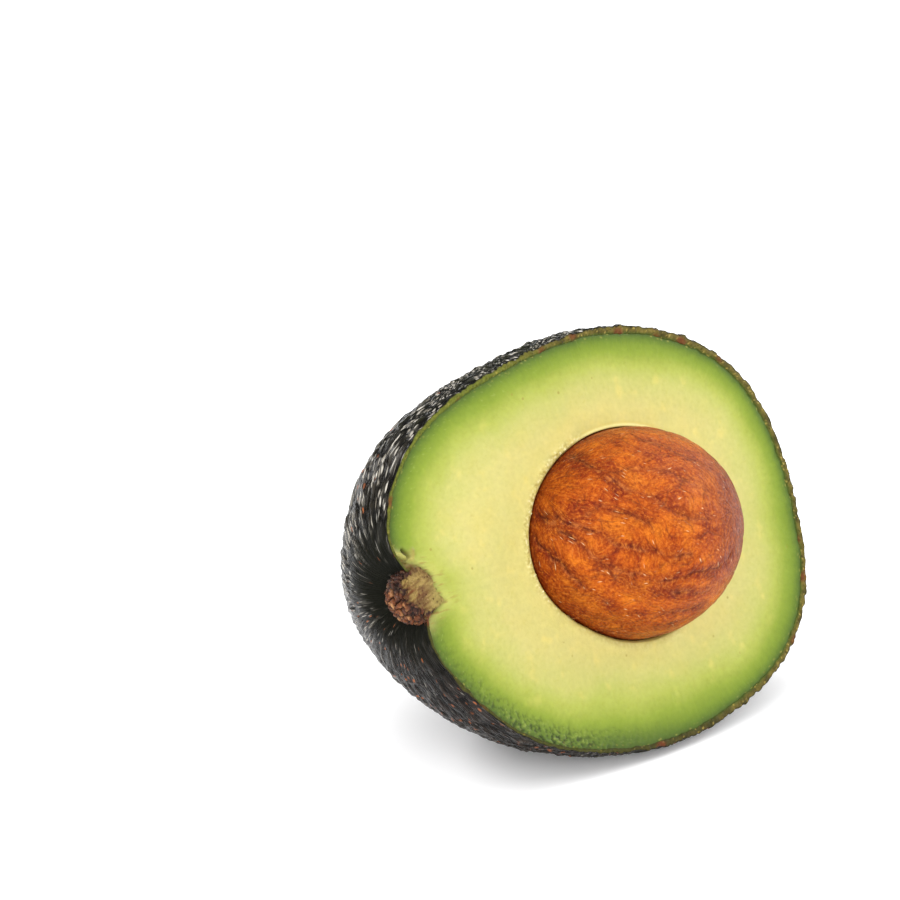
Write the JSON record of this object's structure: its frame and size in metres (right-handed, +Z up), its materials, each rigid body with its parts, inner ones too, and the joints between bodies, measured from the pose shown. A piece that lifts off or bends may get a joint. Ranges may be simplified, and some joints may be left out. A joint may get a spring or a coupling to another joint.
{
  "type": "avocado half",
  "caption": "Cut avocado half with its round seed in place, rough dark skin, green to yellow flesh and a woody stem button, resting on a small flat spot.",
  "frame": {"origin": "the middle of the flat spot on the underside, on the surface it rests on", "axes": "+Z up; -X towards the stem end along the fruit; the cut face looks towards -Y and 22 degrees up"},
  "size_m": [0.09, 0.0566, 0.0677],
  "materials": {
    "peel": "rough semi-gloss skin",
    "flesh": "moist satin",
    "seed": "satin",
    "stem": "rough bark"
  },
  "bodies": {
    "root": {"peel": "peel", "flesh": "flesh", "seed": "seed", "stem_stub": "stem"}
  },
  "joints": []
}
